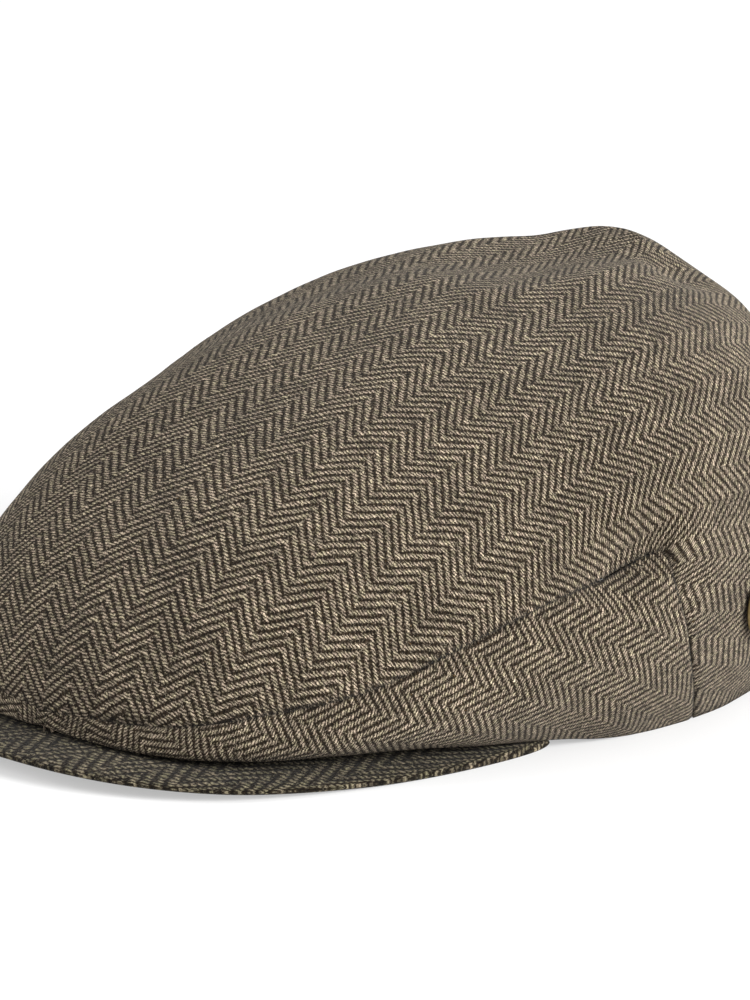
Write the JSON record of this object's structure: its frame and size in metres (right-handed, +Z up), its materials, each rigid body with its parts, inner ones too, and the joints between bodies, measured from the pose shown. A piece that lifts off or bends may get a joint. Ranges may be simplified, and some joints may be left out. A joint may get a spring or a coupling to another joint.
{
  "type": "flat cap",
  "caption": "Flat cap in herringbone wool: full crown falling over a short stiff peak, wedge-shaped side panels, open head hollow and a small plain round metal badge on the wearer's left",
  "frame": {"origin": "middle of the cap's length and width, on the surface it lies on", "axes": "+Z up, -Y to the front where the peak is, +X to the wearer's left"},
  "size_m": [0.1946, 0.2532, 0.1038],
  "materials": {
    "crown_wool": "brown and taupe herringbone wool",
    "side_wool": "brown and taupe herringbone wool, cut on the bias",
    "peak_wool": "brown and taupe herringbone wool over a stiff blade",
    "badge_metal": "aged brass"
  },
  "bodies": {
    "root": {"crown_top_panel": "crown_wool", "side_panel_left": "side_wool", "side_panel_right": "side_wool", "peak": "peak_wool", "badge": "badge_metal"}
  },
  "joints": []
}
